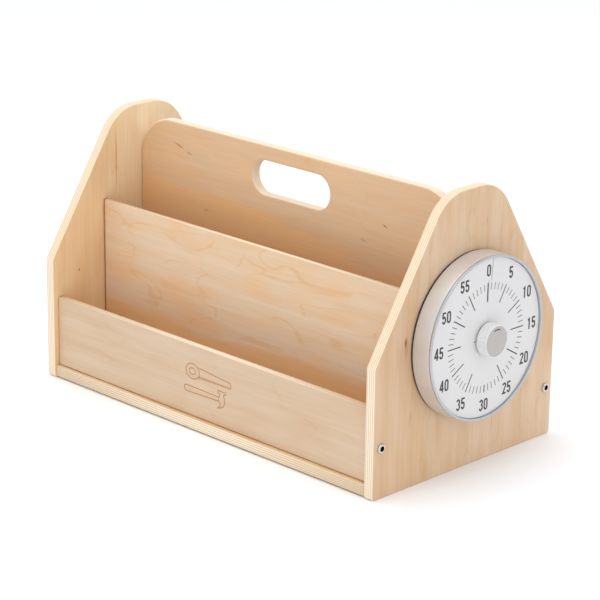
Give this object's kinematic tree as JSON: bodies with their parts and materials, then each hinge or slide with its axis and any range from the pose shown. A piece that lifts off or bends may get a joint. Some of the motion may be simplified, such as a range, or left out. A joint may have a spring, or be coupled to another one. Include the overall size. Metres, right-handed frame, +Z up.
{
  "type": "carpenter toolbox",
  "caption": "Open plywood tool caddy with a slotted handle board, long bays and a countdown timer with a turning knob on one end.",
  "frame": {"origin": "on the floor, at the middle of the whole object's box, timer knob and screw heads included", "axes": "+X along the handle towards the timer, +Y across the caddy from the front to the back, +Z up"},
  "size_m": [0.5476, 0.279, 0.3],
  "materials": {
    "end_panel_birch": "clear satin lacquer",
    "bottom_birch": "clear satin lacquer",
    "handle_birch": "clear satin lacquer",
    "lip_birch": "clear satin lacquer",
    "divider_birch": "clear satin lacquer",
    "box_screw_steel": "zinc plated",
    "timer_screw_steel": "zinc plated",
    "champagne_shell": "satin",
    "silver_bezel": "satin",
    "dark_plastic": "matt",
    "dial_white": "matt",
    "tray_white": "matt",
    "disc_purple": "satin",
    "knob_grey": "satin",
    "shaft_steel": "turned",
    "gear_plastic": "moulded",
    "coil_copper": "enamelled wire",
    "board_green": "solder mask",
    "buzzer_black": "moulded",
    "cell_jacket": "printed sleeve",
    "contact_nickel": "nickel plated"
  },
  "bodies": {
    "caddy_body": {"left_end_panel": "end_panel_birch", "right_end_panel": "end_panel_birch", "bottom_board": "bottom_birch", "handle_board": "handle_birch", "front_lip": "lip_birch", "back_lip": "lip_birch", "front_divider": "divider_birch", "back_divider": "divider_birch", "left_lip_screw_front": "box_screw_steel", "left_lip_screw_back": "box_screw_steel", "left_handle_screw_lower": "box_screw_steel", "left_handle_screw_upper": "box_screw_steel", "right_lip_screw_front": "box_screw_steel", "right_lip_screw_back": "box_screw_steel", "right_handle_screw_lower": "box_screw_steel", "right_handle_screw_upper": "box_screw_steel", "timer_screw_1": "timer_screw_steel", "timer_screw_2": "timer_screw_steel", "timer_screw_3": "timer_screw_steel", "timer_screw_4": "timer_screw_steel", "timer_back_cover": "dark_plastic", "battery_door": "dark_plastic", "timer_housing": "champagne_shell", "timer_bezel": "silver_bezel", "dial_face": "dial_white", "dial_tray": "tray_white", "clockwork_case": "dark_plastic", "clockwork_lid": "dark_plastic", "motor_coil": "coil_copper", "circuit_board": "board_green", "buzzer": "buzzer_black", "battery_cell": "cell_jacket", "battery_contact_plus": "contact_nickel", "battery_contact_minus": "contact_nickel"},
    "knob_body": {"timer_knob": "knob_grey", "knob_shaft": "shaft_steel", "shaft_gear": "gear_plastic"},
    "disc_body": {"time_disc": "disc_purple"},
    "pinion_body": {"motor_pinion": "gear_plastic"}
  },
  "joints": [
    {"name": "knob_turn", "type": "hinge", "parent": "caddy_body", "child": "knob_body", "pos_m": [0.23645, 0, 0.1465], "axis": [-1, 0, 0], "range_deg": [0, 360]},
    {"name": "disc_rise", "type": "slide", "parent": "knob_body", "child": "disc_body", "axis": [1, 0, 0], "range_m": [0, 0.0008]},
    {"name": "pinion_spin", "type": "hinge", "parent": "caddy_body", "child": "pinion_body", "pos_m": [0.23645, 0.0251, 0.1465], "axis": [-1, 0, 0], "range_deg": [-1440, 0]}
  ],
  "couplings": [
    {"joint": "disc_rise", "follows": "knob_turn", "m_per_rad": 0.00012732},
    {"joint": "pinion_spin", "follows": "knob_turn", "ratio": -4}
  ]
}
